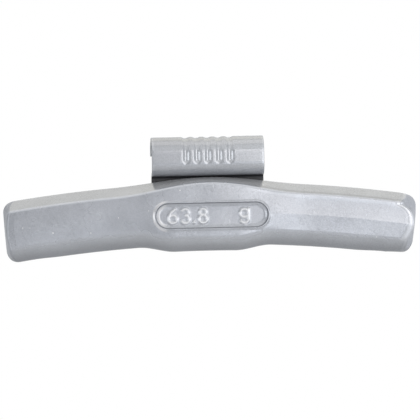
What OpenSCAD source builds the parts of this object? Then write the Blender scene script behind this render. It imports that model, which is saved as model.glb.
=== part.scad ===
// Clip-on balance weight for the rim of a car wheel: a forged, painted steel bar
// on a spring steel hook. Millimetres, X along the bar, Y towards the wheel, Z outwards.
// The origin is the axis of the hook's upper bend, at the middle of its width.

/* [Bar] */
// Length of the bar, along its arc
bar_l = 94.8; // [84:0.2:110]
// Radius of the bar's arc
arc_r = 296; // [180:1:500]
// Height of the arms, across the arc
bar_h = 14.1; // [13:0.1:17]
// Depth of the bar, from its flat back to its front face
bar_d = 6.65; // [5.6:0.05:9]
// How far the bar's middle lies beside the hook's middle
bar_shift = 0.5; // [-3:0.1:3]
// Height of the front face's upper edge above the centre line
face_up = 4.4; // [3.6:0.1:4.8]
// Depth of the front face's lower edge below the centre line
face_down = 3.4; // [2.6:0.1:4]
// How far the front face bulges
crown = 0.35; // [0:0.05:0.6]
// Depth of the straight flank along the upper side
flank_up = 2.2; // [1.5:0.1:3]
// Depth of the straight flank along the lower side
flank_down = 2.0; // [1.5:0.1:3]

/* [Bar edges] */
// Radius between the upper flank and its bevel
upper_r = 0.8; // [0.3:0.1:1]
// Radius between the upper bevel and the front face
face_top_r = 0.7; // [0.3:0.1:1]
// Radius between the front face and the lower bevel
face_low_r = 1.2; // [0.3:0.1:1.4]
// Radius between the lower bevel and the lower flank
lower_r = 1.6; // [0.3:0.1:1.8]
// Radius of the edges round the back
back_r = 0.6; // [0.3:0.1:1]
// Radius of the left end's upper corner, seen from the front
left_up_r = 2; // [1:0.1:5]
// Radius of the left end's lower corner
left_low_r = 2.4; // [1:0.1:5]
// Radius of the right end's upper corner
right_up_r = 2.6; // [1:0.1:5]
// Radius of the right end's lower corner
right_low_r = 4; // [1:0.1:5]
// How much further the ends reach at the lower side than at the upper one
end_lean = 0.75; // [0:0.05:1.5]
// Radius of the edge round each end
end_r = 0.5; // [0.2:0.1:0.8]
// How far the left end slopes in towards the front
left_draft = 0.3; // [0:0.1:1.5]
// How much more it slopes at the face's upper and lower edges
left_bow = 0.7; // [0:0.1:1.5]
// How far the right end slopes in towards the front
right_draft = 1.2; // [0:0.1:1.5]
// How much more it slopes at the face's upper and lower edges
right_bow = 1.2; // [0:0.1:1.5]

/* [Middle pad] */
// How far the pad's upper side rises above the arms
pad_rise = 1.3; // [0:0.1:2]
// How far the front face's upper edge rises with it
face_rise = 2.6; // [1:0.1:3]
// Half the length of the rise
rise_half = 21.5; // [18:0.5:28]
// How far the pad's lower side drops below the arms
pad_drop = 1.4; // [0:0.1:2]
// How far the front face's lower edge drops with it
face_drop = 1.9; // [1:0.1:2.5]
// Half the length over which the drop is full
drop_flat = 7; // [4:0.5:12]
// Half the length of the whole drop
drop_half = 15.5; // [14:0.5:24]

/* [Recess] */
// Length of the recess at its rim
recess_l = 25.7; // [18:0.1:27]
// Height of the recess at its rim
recess_h = 5.8; // [4.8:0.1:6.2]
// Depth of the recess's floor below the front face
recess_depth = 0.5; // [0.3:0.05:1]
// Width of the recess's sloping wall
recess_wall = 1; // [0.6:0.1:1.4]
// How far the recess lies below the centre line
recess_low = 0.4; // [0:0.1:0.8]
// How far the rim stands proud of the front face
rim_proud = 0.22; // [0.1:0.02:0.4]
// Width of the rim's crest
rim_crest = 0.15; // [0.1:0.05:0.4]
// Width of the rim's outer slope
rim_slope = 0.5; // [0.3:0.1:0.8]

/* [Hook] */
// Thickness of the spring strip
strip_t = 1; // [0.8:0.05:1.2]
// Width of the strip
strip_w = 25.6; // [20:0.2:30]
// Height of the hook, from the underside of its lower bend to its top
hook_h = 9; // [8.6:0.1:11]
// How far the hook reaches forward of the bar's back
hook_reach = 5; // [4.8:0.1:6]
// Inner radius of the upper bend, which grips the rim
top_bend_r = 2.9; // [2.6:0.1:3.2]
// Inner radius of the lower bend
low_bend_r = 2.2; // [1.8:0.1:2.3]
// Inner radius of the bend over the bar's upper edge
seat_bend_r = 0.6; // [0.4:0.1:0.6]
// Length of the straight lip behind the upper bend
lip_l = 0.4; // [0.2:0.1:1.5]
// Length of the flat tail behind the bar
tail_l = 11; // [9:0.5:13]
// Radius of the tail's lower corners
tail_r = 2; // [1:0.1:3]
// Gap between the hook and the bar's upper side
hook_gap = 0.25; // [0.15:0.05:0.5]

/* [Hook ribs] */
// Number of stiffening ribs over the upper bend
rib_count = 5; // [1:1:6]
// Distance from rib to rib
rib_pitch = 2.5; // [2:0.1:3.5]
// Radius of a rib
rib_r = 0.55; // [0.45:0.05:0.6]
// How far a rib stands proud of the strip
rib_proud = 0.3; // [0.15:0.05:0.4]
// How far the ribs run behind the top of the bend, in degrees
rib_behind = 12; // [5:1:40]
// Length of the ribs' straight stretch
rib_straight = 1.5; // [1:0.1:1.6]

/* [Rivets] */
// Radius of the two rivets forged on the bar
rivet_r = 1.5; // [1:0.1:2]
// How far a rivet's head spreads beyond its shank
head_spread = 0.6; // [0.3:0.1:0.8]
// Distance between the rivets
rivet_span = 13; // [10:0.5:18]
// Depth of the rivets below the hook's underside
rivet_drop = 6.5; // [5.5:0.5:7]

/* [Fits] */
// How far the tail lies below the bar's back
tail_sunk = 0.05; // [0.02:0.01:0.1]
// Clearance round the edges of the tail
side_gap = 0.3; // [0.1:0.05:0.5]
// Clearance between a rivet and its hole
rivet_gap = 0.08; // [0.05:0.01:0.15]
// Clearance under the seat bend
bend_gap = 0.05; // [0.02:0.01:0.1]

/* [Hidden] */
$fn = 96;

// Levels and depths, measured from the arc's middle and from the bar's back
half_h = bar_h / 2;
underside = half_h + pad_rise + hook_gap;
top_out = top_bend_r + strip_t;
low_out = low_bend_r + strip_t;
tail_front = tail_sunk + strip_t;
hook_z = underside + hook_h - top_out;
hook_y = top_out - hook_reach;
low_y = low_out - hook_reach;
low_z = underside + low_out;
seat_y = -tail_front - seat_bend_r;
seat_z = underside - seat_bend_r;
tail_end = seat_z - tail_l;
rivet_z = underside - rivet_drop;
front = bar_d;
floor_d = bar_d - recess_depth;
recess_r = recess_h / 2;
recess_straight = recess_l - recess_h;
reach = bar_l;

// Number of points on each rounded edge, each bevel and the front face
edge_n = 4;
bevel_n = 3;
face_n = 8;
// How far the loft's section runs past the flat back, which a plane then cuts
past_back = 0.15;
// Distance between the loft's stations over the pad and along the arms
pad_step = 1.5;
arm_step = 4;
// Length at each end over which the sections turn into the end's own form
end_zone = 4;
// Number of points round a rib and of rings along it
rib_sides = 12;
rib_rings = 12;

function unit(v) = v / norm(v);
function ease(u) = let (v = max(0, min(1, u))) v * v * (3 - 2 * v);

// Share of the pad's rise and of its drop, at distance s from its middle
function rise(s) = abs(s) < rise_half ? pow(cos(90 * s / rise_half), 2) : 0;
function drop(s) = 1 - ease((abs(s) - drop_flat) / (drop_half - drop_flat));

// Points of the arc that rounds corner b, between neighbours a and c
function fillet(a, b, c, r) =
    let (u = unit(a - b), v = unit(c - b),
         half = acos(u * v) / 2,
         centre = b + unit(u + v) * r / sin(half),
         from = b + u * r / tan(half) - centre,
         to = b + v * r / tan(half) - centre,
         a0 = atan2(from[1], from[0]),
         turn = atan2(from[0] * to[1] - from[1] * to[0], from * to))
    [for (i = [0:edge_n]) centre + r * [cos(a0 + turn * i / edge_n), sin(a0 + turn * i / edge_n)]];

// Points inside the straight line from a to b, without its ends
function between(a, b, n) = [for (i = [1:n - 1]) a + (b - a) * i / n];

// The bar's section at distance s from the pad's middle, as points of height and depth
function section(s) =
    let (up = half_h + pad_rise * rise(s),
         down = -half_h - pad_drop * drop(s),
         face_hi = face_up + face_rise * rise(s),
         face_lo = -face_down - face_drop * drop(s),
         mid = (face_hi + face_lo) / 2,
         half = (face_hi - face_lo) / 2,
         bulge = crown * (1 - 0.6 * drop(s)),
         face = [for (i = [0:face_n]) let (t = face_hi + (face_lo - face_hi) * i / face_n)
                    [t, front - bulge * pow((t - mid) / half, 2)]],
         a = [up, -past_back],
         b = [up, flank_up],
         c = face[0],
         d = face[face_n],
         e = [down, flank_down],
         f = [down, -past_back])
    concat(fillet(f, a, b, back_r),
           fillet(a, b, c, upper_r),
           between(b, c, bevel_n),
           fillet(b, c, face[2], face_top_r),
           [for (i = [1:face_n - 1]) face[i]],
           fillet(face[face_n - 2], d, e, face_low_r),
           between(d, e, bevel_n),
           fillet(d, e, f, lower_r),
           fillet(e, f, a, back_r));

// How much a corner of radius r takes off an end, at height t
function corner_loss(r, t) =
    let (x = min(r, max(0, abs(t) - half_h + r))) r - sqrt(r * r - x * x);

// Distance from the hook's middle to the surface of one end (side is -1 or 1), at the point p of a section
function end_at(side, p) =
    let (left = side < 0, low = p[0] < 0,
         r = left ? (low ? left_low_r : left_up_r) : (low ? right_low_r : right_up_r),
         draft = left ? left_draft : right_draft,
         bow = left ? left_bow : right_bow)
    bar_l / 2 + side * bar_shift - corner_loss(r, p[0]) - end_lean * p[0] / bar_h
    - max(0, p[1]) / bar_d * (draft + bow * pow(p[0] / face_up, 2));

// One point of the bar: height t and depth d, at distance s along the arc
function place(s, p) =
    let (turn = s / arc_r * 180 / PI)
    [(arc_r + p[0]) * sin(turn), -p[1], (arc_r + p[0]) * cos(turn) - arc_r];

// A section drawn in by the given amount all round
function drawn_in(p, by) =
    [p[0] * (1 - by / half_h), bar_d / 2 + (p[1] - bar_d / 2) * (1 - by / (bar_d / 2))];

knee_left = bar_l / 2 - bar_shift - end_zone;
knee_right = bar_l / 2 + bar_shift - end_zone;
pad_reach = ceil(rise_half / pad_step) * pad_step;
stations = concat(
    between([-knee_left], [-pad_reach], max(2, ceil((knee_left - pad_reach) / arm_step))),
    [for (s = [-pad_reach:pad_step:pad_reach + 0.01]) [s]],
    between([pad_reach], [knee_right], max(2, ceil((knee_right - pad_reach) / arm_step))));

// The rings of one end, from its knee outwards: the turn into the end's form, the rounded edge, the cap
function end_rings(side) =
    let (knee = side < 0 ? knee_left : knee_right, base = section(side * knee))
    concat(
        [for (u = [0, 0.5]) [for (p = base) place(side * (knee + u * (end_at(side, p) - end_r - knee)), p)]],
        [for (a = [0:30:90]) [for (p = base) let (q = drawn_in(p, end_r * (1 - cos(a))))
            place(side * (end_at(side, q) - end_r * (1 - sin(a))), q)]],
        [for (by = [0.3, 0.55, 0.8]) [for (p = base) let (q = drawn_in(p, by * bar_d / 2))
            place(side * end_at(side, q), q)]]);
function end_point(side) = place(side * end_at(side, [0, bar_d / 2]), [0, bar_d / 2]);
function reversed(v) = [for (i = [len(v) - 1:-1:0]) v[i]];

// A skin over rings of points, closed at a first and a last point
module loft(rings, first, last) {
    m = len(rings);
    n = len(rings[0]);
    points = concat([for (r = rings) each r], [first, last]);
    sides = [for (j = [0:m - 2]) for (i = [0:n - 1]) let (k = (i + 1) % n)
        each [[j * n + i, (j + 1) * n + k, j * n + k], [j * n + i, (j + 1) * n + i, (j + 1) * n + k]]];
    first_cap = [for (i = [0:n - 1]) [m * n, i, (i + 1) % n]];
    last_cap = [for (i = [0:n - 1]) [m * n + 1, (m - 1) * n + (i + 1) % n, (m - 1) * n + i]];
    polyhedron(points, concat(sides, first_cap, last_cap), convexity = 6);
}

module bar_skin() {
    middle = [for (s = stations) [for (p = section(s[0])) place(s[0], p)]];
    loft(concat(reversed(end_rings(-1)), middle, end_rings(1)), end_point(-1), end_point(1));
}

// A long frustum with round ends: its flat side at y = -from, its other at y = -to
module long_frustum(straight, from, r_from, to, r_to) {
    for (side = [-1, 1])
        translate([side * straight / 2, -from, 0])
            rotate([90, 0, 0]) cylinder(h = to - from, r1 = r_from, r2 = r_to);
    translate([-straight / 2, 0, 0])
        rotate([90, 0, 90]) linear_extrude(straight)
            polygon([[-from, -r_from], [-to, -r_to], [-to, r_to], [-from, r_from]]);
}

module recess_rim() {
    crest = recess_r + rim_crest;
    under = 0.4;
    slope = rim_slope / rim_proud;
    long_frustum(recess_straight, front - under, crest + slope * (rim_proud + under),
                 front + rim_proud, crest);
}

module recess_cut() {
    slope = recess_wall / (rim_proud + recess_depth);
    over = 0.4;
    long_frustum(recess_straight, floor_d, recess_r - recess_wall,
                 front + rim_proud + over, recess_r + slope * over);
}

// Room for the tail in the bar's back, and for the seat bend over the bar's upper edge
module tail_pocket() {
    width = strip_w + 2 * side_gap;
    translate([-width / 2, -tail_front, tail_end - side_gap]) cube([width, reach, reach]);
    difference() {
        translate([-width / 2, seat_y, seat_z]) cube([width, reach, reach]);
        translate([-width, seat_y, seat_z])
            rotate([0, 90, 0]) cylinder(h = 2 * width, r = seat_bend_r - bend_gap);
    }
}

// A rivet standing on the pocket's floor, its head spread flush with the tail
module rivet(x) {
    translate([x, -tail_front - 0.5, rivet_z]) rotate([-90, 0, 0]) cylinder(h = 0.5 + strip_t, r = rivet_r);
    translate([x, -tail_sunk - head_spread, rivet_z])
        rotate([-90, 0, 0]) cylinder(h = head_spread, r1 = rivet_r, r2 = rivet_r + head_spread);
}

module rivet_hole(x) {
    r = rivet_r + rivet_gap;
    sink = head_spread + rivet_gap;
    translate([x, -tail_front - 1, rivet_z]) rotate([-90, 0, 0]) cylinder(h = 2 + strip_t, r = r);
    translate([x, -tail_sunk - sink, rivet_z])
        rotate([-90, 0, 0]) cylinder(h = 2 * sink, r1 = r, r2 = r + 2 * sink);
}

module weight_body() {
    color("silver") translate([0, -hook_y, -hook_z]) {
        difference() {
            union() {
                difference() {
                    bar_skin();
                    translate([-reach * 2, 0, -reach]) cube([reach * 4, reach, reach * 2]);
                }
                translate([bar_shift, 0, -recess_low]) recess_rim();
            }
            translate([bar_shift, 0, -recess_low]) recess_cut();
            tail_pocket();
        }
        for (side = [-1, 1]) rivet(side * rivet_span / 2);
    }
}

// Half discs and quarter rings of the strip's profile, in the Y and Z plane
module quarter_ring(r_in, r_out, sy, sz) {
    intersection() {
        difference() {
            circle(r_out);
            circle(r_in);
        }
        translate([sy < 0 ? -r_out : 0, sz < 0 ? -r_out : 0]) square(r_out);
    }
}

module strip_profile() {
    translate([-tail_front, tail_end]) square([strip_t, tail_l]);
    translate([seat_y, seat_z]) quarter_ring(seat_bend_r, seat_bend_r + strip_t, 1, 1);
    translate([low_y, underside]) square([seat_y - low_y, strip_t]);
    translate([low_y, low_z]) quarter_ring(low_bend_r, low_out, -1, -1);
    translate([-hook_reach, low_z]) square([strip_t, hook_z - low_z]);
    translate([hook_y, hook_z]) {
        quarter_ring(top_bend_r, top_out, -1, 1);
        quarter_ring(top_bend_r, top_out, 1, 1);
        translate([top_bend_r, -lip_l]) square([strip_t, lip_l]);
    }
}

// One rib: a round bead run up the front wall and over the upper bend, with round ends.
// A ring of it at distance l from its foot, drawn in to the share k of its radius
rib_bend_r = top_out - rib_r + rib_proud;
rib_l = rib_straight + rib_bend_r * (90 + rib_behind) * PI / 180;
function rib_spine(l) =
    let (turn = max(0, l - rib_straight) / rib_bend_r * 180 / PI)
    [-rib_bend_r * cos(turn), rib_bend_r * sin(turn) + min(0, l - rib_straight)];
function rib_out(l) = let (turn = max(0, l - rib_straight) / rib_bend_r * 180 / PI) [-cos(turn), sin(turn)];
function rib_ring(l, k) =
    let (c = rib_spine(l), o = rib_out(l))
    [for (i = [0:rib_sides - 1])
        let (a = -360 * (i + 0.5) / rib_sides, x = k * rib_r * cos(a), y = k * rib_r * sin(a))
        [x, c[0] + o[0] * y, c[1] + o[1] * y]];

module rib() {
    foot = [for (a = [30, 60]) rib_ring(rib_r * (1 - cos(a)), sin(a))];
    run = [for (i = [0:rib_rings]) rib_ring(rib_r + (rib_l - 2 * rib_r) * i / rib_rings, 1)];
    head = [for (a = [60, 30]) rib_ring(rib_l - rib_r * (1 - cos(a)), sin(a))];
    first = rib_spine(0);
    last = rib_spine(rib_l);
    loft(concat(foot, run, head), [0, first[0], first[1]], [0, last[0], last[1]]);
}

// What rounds off one lower corner of the tail
module tail_corner(side) {
    translate([side * (strip_w / 2 - tail_r), 0, tail_end + tail_r])
        difference() {
            translate([side < 0 ? -2 * tail_r : 0, -2 * strip_t, -2 * tail_r])
                cube([2 * tail_r, 4 * strip_t, 2 * tail_r]);
            rotate([90, 0, 0]) cylinder(h = 6 * strip_t, r = tail_r, center = true);
        }
}

module spring_clip() {
    color("darkgray") {
        translate([0, -hook_y, -hook_z]) difference() {
            translate([-strip_w / 2, 0, 0]) rotate([90, 0, 90]) linear_extrude(strip_w) strip_profile();
            for (side = [-1, 1]) {
                rivet_hole(side * rivet_span / 2);
                tail_corner(side);
            }
        }
        for (i = [0:rib_count - 1]) translate([(i - (rib_count - 1) / 2) * rib_pitch, 0, 0]) rib();
    }
}

weight_body();
spring_clip();
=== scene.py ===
# %% [markdown]
# # A clip-on balance weight for a car wheel
# The weight is a small steel bar, forged to the arc of a wheel's rim and painted silver grey. A
# hook of spring steel, one inch wide, is riveted to its back and grips the rim's lip. This lesson
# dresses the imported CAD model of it: first the frame and the camera, then small helpers for node
# trees, the paint, the bar, the hook, and last the light. Sizes are in millimetres until a tree
# ends.

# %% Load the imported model
import math

import bpy
from mathutils import Matrix, Vector


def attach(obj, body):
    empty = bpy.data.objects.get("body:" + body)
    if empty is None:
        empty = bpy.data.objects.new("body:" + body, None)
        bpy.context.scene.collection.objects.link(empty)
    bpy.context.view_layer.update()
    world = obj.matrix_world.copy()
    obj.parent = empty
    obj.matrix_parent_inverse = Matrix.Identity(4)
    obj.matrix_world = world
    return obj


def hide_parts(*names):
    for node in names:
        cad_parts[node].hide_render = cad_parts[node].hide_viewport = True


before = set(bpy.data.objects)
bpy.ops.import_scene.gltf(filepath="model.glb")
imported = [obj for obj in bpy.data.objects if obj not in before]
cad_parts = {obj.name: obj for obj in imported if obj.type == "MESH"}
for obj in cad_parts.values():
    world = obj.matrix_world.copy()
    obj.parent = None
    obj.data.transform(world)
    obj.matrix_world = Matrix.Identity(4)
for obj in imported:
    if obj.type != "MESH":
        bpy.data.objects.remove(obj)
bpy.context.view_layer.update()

scene = bpy.context.scene
print("nodes:", sorted(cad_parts))

# %% [markdown]
# ## The camera
# The photograph is taken from the front with a long lens. The bar's left end is a little nearer,
# so the camera stands 3.7 degrees to the left, and it was held 1.25 degrees out of level. A camera
# a metre away is placed from these two angles and from the point that the picture's middle shows.

# %% Camera
YAW, ROLL, DISTANCE = math.radians(3.7), math.radians(1.25), 1.0
FRAME_WIDTH = 0.09576
AIM_RIGHT, AIM_DOWN = 0.000684, 0.01288  # from the origin to the picture's middle, in metres
ahead = Vector((math.sin(YAW), math.cos(YAW), 0))
across = Vector((math.cos(YAW), -math.sin(YAW), 0))
right = across * math.cos(ROLL) - Vector((0, 0, math.sin(ROLL)))
up = across * math.sin(ROLL) + Vector((0, 0, math.cos(ROLL)))
aim = right * AIM_RIGHT - up * AIM_DOWN

lens = bpy.data.cameras.new("camera")
lens.sensor_width = 36
lens.lens = 36 * DISTANCE / FRAME_WIDTH
lens.clip_start, lens.clip_end = 0.05, 20
camera = bpy.data.objects.new("camera", lens)
scene.collection.objects.link(camera)
camera.location = aim - ahead * DISTANCE
camera.rotation_mode = "QUATERNION"
camera.rotation_quaternion = Matrix((right, up, -ahead)).transposed().to_quaternion()
scene.camera = camera
print("camera at", [round(v, 4) for v in camera.location], "lens", round(lens.lens, 1), "mm")

# %% [markdown]
# ## Sums that build nodes
# A node tree is easier to read as sums than as dozens of links. The class below wraps one socket
# and teaches it the plain operators, in both orders, so that 1 - mask works. Each sum adds a Math
# node.

# %% A socket that can be reckoned with
class Value:
    """One output socket of a tree, which takes part in sums."""

    def __init__(self, tree, socket):
        self.tree, self.socket = tree, socket

    def other(self, name):
        """Another output of the same node."""
        return Value(self.tree, self.socket.node.outputs[name])

    def __add__(self, more):
        return self.tree.maths("ADD", self, more)

    def __sub__(self, less):
        return self.tree.maths("SUBTRACT", self, less)

    def __rsub__(self, whole):
        return self.tree.maths("SUBTRACT", whole, self)

    def __mul__(self, times):
        return self.tree.maths("MULTIPLY", self, times)

    def __truediv__(self, parts):
        return self.tree.maths("DIVIDE", self, parts)

    def __pow__(self, power):
        return self.tree.maths("POWER", self, power)

    def __abs__(self):
        return self.tree.maths("ABSOLUTE", self)

    __radd__ = __add__
    __rmul__ = __mul__


# %% [markdown]
# Every other node comes from one method, `add`. It takes the node's type, its settings, which are
# set first because they decide which sockets there are, and then the values or links of its
# sockets.

# %% A tree that nodes are added to
class Tree:
    """A node tree, of a shader or of geometry, written node by node."""

    def __init__(self, group):
        self.group = group
        self.drawn, self.sizes = None, {}

    def add(self, kind, settings=None, inputs=None, out=None):
        node = self.group.nodes.new(kind)
        for name, value in (settings or {}).items():
            setattr(node, name, value)
        for name, value in (inputs or {}).items():
            named = [s for s in node.inputs if s.name == name and s.enabled]
            socket = named[0] if named else node.inputs[name]
            if isinstance(value, Value):
                self.group.links.new(value.socket, socket)
            else:
                socket.default_value = value
        if not node.outputs:
            return node
        return Value(self, next(s for s in node.outputs if s.enabled and out in (None, s.name)))

    def maths(self, operation, *values):
        return self.add("ShaderNodeMath", {"operation": operation}, dict(enumerate(values)))

    def larger(self, first, *others):
        """The largest of its values."""
        for value in others:
            first = self.maths("MAXIMUM", first, value)
        return first

    def between(self, value, low, high):
        return self.maths("MINIMUM", self.maths("MAXIMUM", value, low), high)

    def moved_by(self, vector, move, by):
        """vector + move * by."""
        move = self.add("ShaderNodeVectorMath", {"operation": "SCALE"}, {0: move, "Scale": by})
        return self.add("ShaderNodeVectorMath", {"operation": "ADD"}, {0: vector, 1: move})

    def xyz(self, x, y, z):
        return self.add("ShaderNodeCombineXYZ", None, {"X": x, "Y": y, "Z": z})

    def parts(self, vector):
        x = self.add("ShaderNodeSeparateXYZ", None, {0: vector})
        return x, x.other("Y"), x.other("Z")

    def ramp(self, value, start, end, low=0.0, high=1.0, kind="LINEAR"):
        """Runs from low at start to high at end, and stays level outside."""
        return self.add("ShaderNodeMapRange", {"interpolation_type": kind},
                        {"Value": value, "From Min": start, "From Max": end,
                         "To Min": low, "To Max": high})

    def soft(self, value, start, end, low=0.0, high=1.0):
        return self.ramp(value, start, end, low, high, "SMOOTHSTEP")

    def moved(self, geometry, place, turned=(0, 0, 0)):
        return self.add("GeometryNodeTransform", None,
                        {"Geometry": geometry, "Translation": place, "Rotation": turned})

    def join(self, *pieces):
        whole = self.add("GeometryNodeJoinGeometry")
        for piece in pieces:
            self.group.links.new(piece.socket, whole.socket.node.inputs[0])
        return whole


# %% [markdown]
# A geometry tree gets its sizes as named inputs, so that a bar of another class needs new numbers
# only. It is run once as a modifier. The result is kept as a plain mesh, in metres, and the
# modifier goes, because the exported part carries meshes and not trees.

# %% Run a geometry tree and keep what it makes
def sized_tree(name, sizes):
    """A geometry tree with one named input for each size."""
    group = bpy.data.node_groups.new(name, "GeometryNodeTree")
    tree = Tree(group)
    group.interface.new_socket("Geometry", in_out="INPUT", socket_type="NodeSocketGeometry")
    for label in sizes:
        group.interface.new_socket(label, in_out="INPUT", socket_type="NodeSocketFloat")
    group.interface.new_socket("Geometry", in_out="OUTPUT", socket_type="NodeSocketGeometry")
    tree.drawn = tree.add("NodeGroupInput")
    tree.sizes = {label: tree.drawn.other(label) for label in sizes}
    return tree


def grown(name, tree, result, source, sizes, material):
    """Ends the tree, runs it on the drawn source and returns an object with the finished mesh."""
    small = tree.add("GeometryNodeTransform", None, {"Geometry": result, "Scale": (0.001,) * 3})
    real = tree.add("GeometryNodeRealizeInstances", None, {"Geometry": small})
    coated = tree.add("GeometryNodeSetMaterial", None, {"Geometry": real, "Material": material})
    tree.add("NodeGroupOutput", None, {"Geometry": coated})

    maker = bpy.data.objects.new(name + "_drawn", source)
    scene.collection.objects.link(maker)
    modifier = maker.modifiers.new("tree", "NODES")
    modifier.node_group = tree.group
    for item in tree.group.interface.items_tree:
        if item.in_out == "INPUT" and item.name in sizes:
            modifier[item.identifier] = float(sizes[item.name])
    evaluated = maker.evaluated_get(bpy.context.evaluated_depsgraph_get())
    mesh = bpy.data.meshes.new_from_object(evaluated)
    maker.modifiers.remove(modifier)
    bpy.data.objects.remove(maker)

    mesh.name = name
    piece = bpy.data.objects.new(name, mesh)
    scene.collection.objects.link(piece)
    print(name, len(mesh.vertices), "vertices,", len(mesh.polygons), "faces, mm",
          [round(1000 * v, 2) for v in piece.dimensions])
    return piece


# %% [markdown]
# ## The paint
# Both parts are dipped in one silver grey paint. It is semi-gloss: a metallic body under a thin
# clear film, with the fine ripple that painters call orange peel and flakes that are coarser on
# the right. A picture texture would need a file and would not fit other sizes, so the paint is
# reckoned from the object's own coordinates. Six marks on the points say where it differs: edge
# (worn thin, with a painted highlight), painted light, painted shade that also dulls it, sheared
# (dull), a near-black painted shadow, and nib (dust).

# %% A paint
# The pale tone is painted light, the near-black one is painted shadow, and the last is dust.
PAINTED_LIGHT_TONE, SHADOW_TONE, DUST = [0.85, 0.86, 0.88, 1], [0.035, 0.036, 0.04, 1], [0.92, 0.93, 0.95, 1]
COARSE_FROM, COARSE_TO = -0.014, 0.016  # the paint turns coarser between these places along x


def painted(name, tint, mottle, ripple, smoothest):
    """Silver grey paint over steel. tint is its colour, mottle how far that varies, ripple the
    height of its peel in millimetres, and smoothest its lowest roughness."""
    material = bpy.data.materials.new(name)
    material.use_nodes = True
    material.node_tree.nodes.clear()
    tree = Tree(material.node_tree)
    place = tree.add("ShaderNodeTexCoord", None, None, "Object")

    def noise(size_mm, detail):
        return tree.add("ShaderNodeTexNoise", None,
                        {"Vector": place, "Scale": 1000 / size_mm, "Detail": detail})

    def mask(attribute):
        return tree.add("ShaderNodeAttribute", {"attribute_name": attribute}, None, "Fac")

    def shade(by):
        return [c * by for c in tint] + [1]

    coarse = tree.soft(tree.parts(place)[0], COARSE_FROM, COARSE_TO)
    flakes = tree.ramp(noise(0.28, 1.0), 0.35, 0.65) * (0.18 + coarse * 0.14)
    colour = shade(1 - mottle)
    # Lighter for worn edges with a painted highlight and for painted light, darker for painted
    # shade, near black for painted shadow, pale for dust.
    for share, other in (
            (tree.soft(noise(9.0, 3.0), 0.35, 0.65), shade(1)), (flakes, shade(1.6)),
            (mask("edge") * 0.5, shade(1.6)), (mask("painted_light") * 0.45, PAINTED_LIGHT_TONE),
            (mask("painted_shade") * 0.75, shade(0.35)), (mask("painted_shadow"), SHADOW_TONE), (mask("nib"), DUST)):
        colour = tree.add("ShaderNodeMix", {"data_type": "RGBA"},
                          {"Factor": share, "A": colour, "B": other}, "Result")

    matt = tree.larger(mask("painted_shade") * 0.7, mask("painted_shadow"), mask("sheared"))
    peel = noise(0.9, 2.0) * 0.7 + noise(0.25, 1.0) * (0.3 + coarse * 0.35)
    bump = tree.add("ShaderNodeBump", None,
                    {"Height": peel, "Distance": ripple / 1000, "Strength": 1.0})
    rough = tree.ramp(noise(5.0, 2.0), 0.3, 0.7, smoothest, smoothest + 0.05) + matt * 0.3
    shader = tree.add("ShaderNodeBsdfPrincipled", None,
                      {"Base Color": colour, "Roughness": rough, "Normal": bump,
                       "Metallic": 0.45, "Coat Weight": 0.6 - matt * 0.55,
                       "Coat Roughness": 0.07, "IOR": 1.5})
    tree.add("ShaderNodeOutputMaterial", None, {"Surface": shader})
    return material


bar_paint = painted("bar_paint", [0.372, 0.394, 0.438], 0.10, 0.026, 0.24)
clip_paint = painted("clip_paint", [0.38, 0.400, 0.436], 0.08, 0.014, 0.18)
print("paints:", bar_paint.name, clip_paint.name)

# %% [markdown]
# ## The bar
# The bar is forged: one section runs along an arc, and its middle swells to a pad. Its two ends
# were sheared and differ, so each has sizes of its own. They all stand in one table, and each of
# them becomes a named input of the bar's tree.

# %% Sizes of the bar
BAR = {
    "Length": 94.8, "Arc radius": 296, "Height": 14.1, "Depth": 6.65, "Shift": 0.5,
    "Rise half": 21.5, "Drop flat": 7, "Drop half": 15.5,
    "Left upper corner": 2.25, "Left lower corner": 3.1,
    "Right upper corner": 2.75, "Right lower corner": 3.7,
    "Left lean": 1.2, "Right lean": 0.48, "Left trim": 0.28, "Right trim": 0.37,
    "Left tuck": 0.03, "Right tuck": 0.045, "Right end tuck": 0.05, "End edge": 0.5,
    "Left draft": 0.3, "Left bow": 0.7, "Right draft": 0.85,
    "Right upper bow": 1.3, "Right lower bow": 1.9, "Right corner cut": 3.0,
    "Face up": 4.4, "Ridge level": 0.1,
    "Recess length": 25.7, "Recess height": 5.8, "Recess depth": 0.5, "Wall": 1.0,
    "Recess low": 0.4, "Rim proud": 0.22, "Rim crest": 0.15, "Rim slope": 0.45,
    "Figure height": 0.30,
}
HALF, DEPTH = BAR["Height"] / 2, BAR["Depth"]
FACE_TOP, FACE_BOTTOM = 4.8, -3.85  # the edges of an arm's face
HOOK_Y, HOOK_Z = -1.1, 13.7  # the part's origin, from the bar's back and from the arc's middle
print("bar in mm:", BAR["Length"], BAR["Height"], DEPTH)

# %% [markdown]
# The section's six corners are each rounded to their own radius. Rounding a corner is a few lines
# of Python, while following the arc is what Geometry Nodes are good at. So the section is drawn
# here, with two helpers, and swept there.

# %% Rounded corners and straight runs
def unit(v):
    return v / v.length


def rounded(a, b, c, radius, steps=7):
    """Points of the arc that rounds corner b between its neighbours."""
    u, v = unit(a - b), unit(c - b)
    half = math.acos(u.dot(v)) / 2
    centre = b + unit(u + v) * radius / math.sin(half)
    start = unit(b + u * radius / math.tan(half) - centre)
    end = unit(b + v * radius / math.tan(half) - centre)
    return [centre + start.slerp(end, i / steps) * radius for i in range(steps + 1)]


def line(a, b, steps):
    """Points strictly between a and b."""
    return [a + (b - a) * i / steps for i in range(1, steps)]


print("points on a corner:", len(rounded(Vector((1, 0)), Vector((0, 0)), Vector((0, 1)), 0.5)))

# %% [markdown]
# The section has a flat back, short sides, long bevels and a face with a slight crown. On the pad
# its sides and its face swell up and down. Points are closest where the recess will be. Each run
# of points also says how sharp it is, because sharp edges wear thin and get a painted highlight.

# %% Draw the section
SIDE_UP, SIDE_DOWN = 1.3, 1.4  # how far the pad's sides swell beyond an arm's
FACE_UP, FACE_DOWN = 2.2, 1.45  # and how far the edges of its face do
BEVEL_TOP, BEVEL_BOTTOM = 2.2, 2.0  # how deep the short sides are
CROWN = 0.35


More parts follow.
